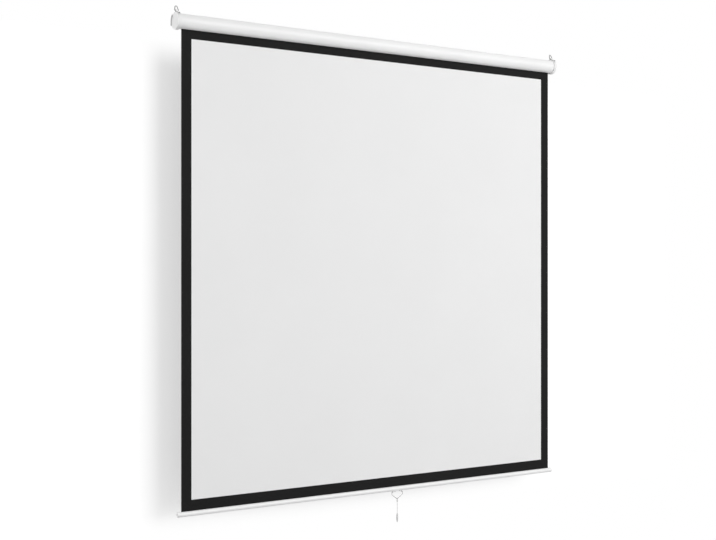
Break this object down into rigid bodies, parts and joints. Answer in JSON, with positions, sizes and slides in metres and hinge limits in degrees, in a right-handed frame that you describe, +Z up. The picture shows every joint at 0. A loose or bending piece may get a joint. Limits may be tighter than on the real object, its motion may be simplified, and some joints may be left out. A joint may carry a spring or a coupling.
{
  "type": "pull-down projection screen",
  "caption": "Wall-hung roller screen in a round white casing: a black-bordered white sheet pulls down on a weighted bar with a wire handle and cord.",
  "frame": {"origin": "on the wall plane, midway between the two wall screw holes of the hanger straps", "axes": "+Z up, +Y into the wall, +X along the casing to the right as seen from the audience"},
  "size_m": [1.9228, 0.07, 2.102],
  "materials": {
    "white_coat": "satin powder coat",
    "white_plastic": "fine satin moulding",
    "strap_steel": "satin paint",
    "screw_steel": "dull zinc",
    "wire_steel": "bright zinc",
    "roller_steel": "rolled, satin",
    "plain_steel": "turned, satin",
    "spring_steel": "oiled wire",
    "nylon": "satin",
    "black_cloth": "matt",
    "white_cloth": "matt white",
    "white_cord": "twisted yarn",
    "grey_plastic": "satin"
  },
  "bodies": {
    "housing": {"casing_tube": "white_coat", "left_end_cap": "white_plastic", "right_end_cap": "white_plastic", "left_hanger_strap": "strap_steel", "right_hanger_strap": "strap_steel", "strap_screws": "screw_steel", "idle_axle": "plain_steel", "spring_shaft": "plain_steel", "ratchet_wheel": "plain_steel", "spring_arbor": "nylon", "torsion_spring": "spring_steel", "screen_fabric": "black_cloth", "viewing_surface": "white_cloth"},
    "roller": {"roller_tube": "roller_steel", "idle_plug": "nylon", "idle_bush": "nylon", "spring_plug": "nylon", "spring_bush": "nylon", "pawl_pins": "plain_steel", "fabric_wraps": "black_cloth"},
    "upper_pawl": {"upper_pawl": "plain_steel"},
    "lower_pawl": {"lower_pawl": "plain_steel"},
    "drop_bar": {"bottom_bar": "white_coat", "left_bar_plug": "white_plastic", "right_bar_plug": "white_plastic", "hem_rod": "plain_steel", "handle_bracket": "strap_steel", "bracket_screws": "screw_steel"},
    "handle": {"pull_handle": "wire_steel"},
    "cord": {"cord_loop": "white_cord", "cord_knot": "white_cord", "pull_cord": "white_cord", "cord_toggle": "grey_plastic"},
    "left_ring": {"left_hanging_ring": "wire_steel"},
    "right_ring": {"right_hanging_ring": "wire_steel"}
  },
  "joints": [
    {"name": "screen_travel", "type": "slide", "parent": "housing", "child": "drop_bar", "axis": [0, 0, 1], "range_m": [0, 1.848], "deforming": ["screen_fabric", "viewing_surface"]},
    {"name": "roller_turn", "type": "hinge", "parent": "housing", "child": "roller", "pos_m": [0, -0.036, 0.007], "axis": [1, 0, 0], "continuous": true},
    {"name": "upper_pawl_throw", "type": "hinge", "parent": "roller", "child": "upper_pawl", "pos_m": [0.9432, -0.02489, 0.01632], "axis": [-1, 0, 0], "range_deg": [-14, 12]},
    {"name": "lower_pawl_throw", "type": "hinge", "parent": "roller", "child": "lower_pawl", "pos_m": [0.9432, -0.04711, -0.00232], "axis": [-1, 0, 0], "range_deg": [-14, 12]},
    {"name": "handle_swing", "type": "hinge", "parent": "drop_bar", "child": "handle", "pos_m": [0.074, -0.036, -1.9034], "axis": [1, 0, 0], "range_deg": [-75, 75]},
    {"name": "cord_swing", "type": "hinge", "parent": "handle", "child": "cord", "pos_m": [0.074, -0.036, -1.93457], "axis": [1, 0, 0], "range_deg": [-60, 60]},
    {"name": "left_ring_swing", "type": "hinge", "parent": "housing", "child": "left_ring", "pos_m": [-0.952, -0.036, 0.0456], "axis": [1, 0, 0], "range_deg": [-67, 103]},
    {"name": "right_ring_swing", "type": "hinge", "parent": "housing", "child": "right_ring", "pos_m": [0.952, -0.036, 0.0456], "axis": [1, 0, 0], "range_deg": [-67, 103]}
  ],
  "couplings": [
    {"joint": "roller_turn", "follows": "screen_travel", "rad_per_m": 46.75}
  ]
}
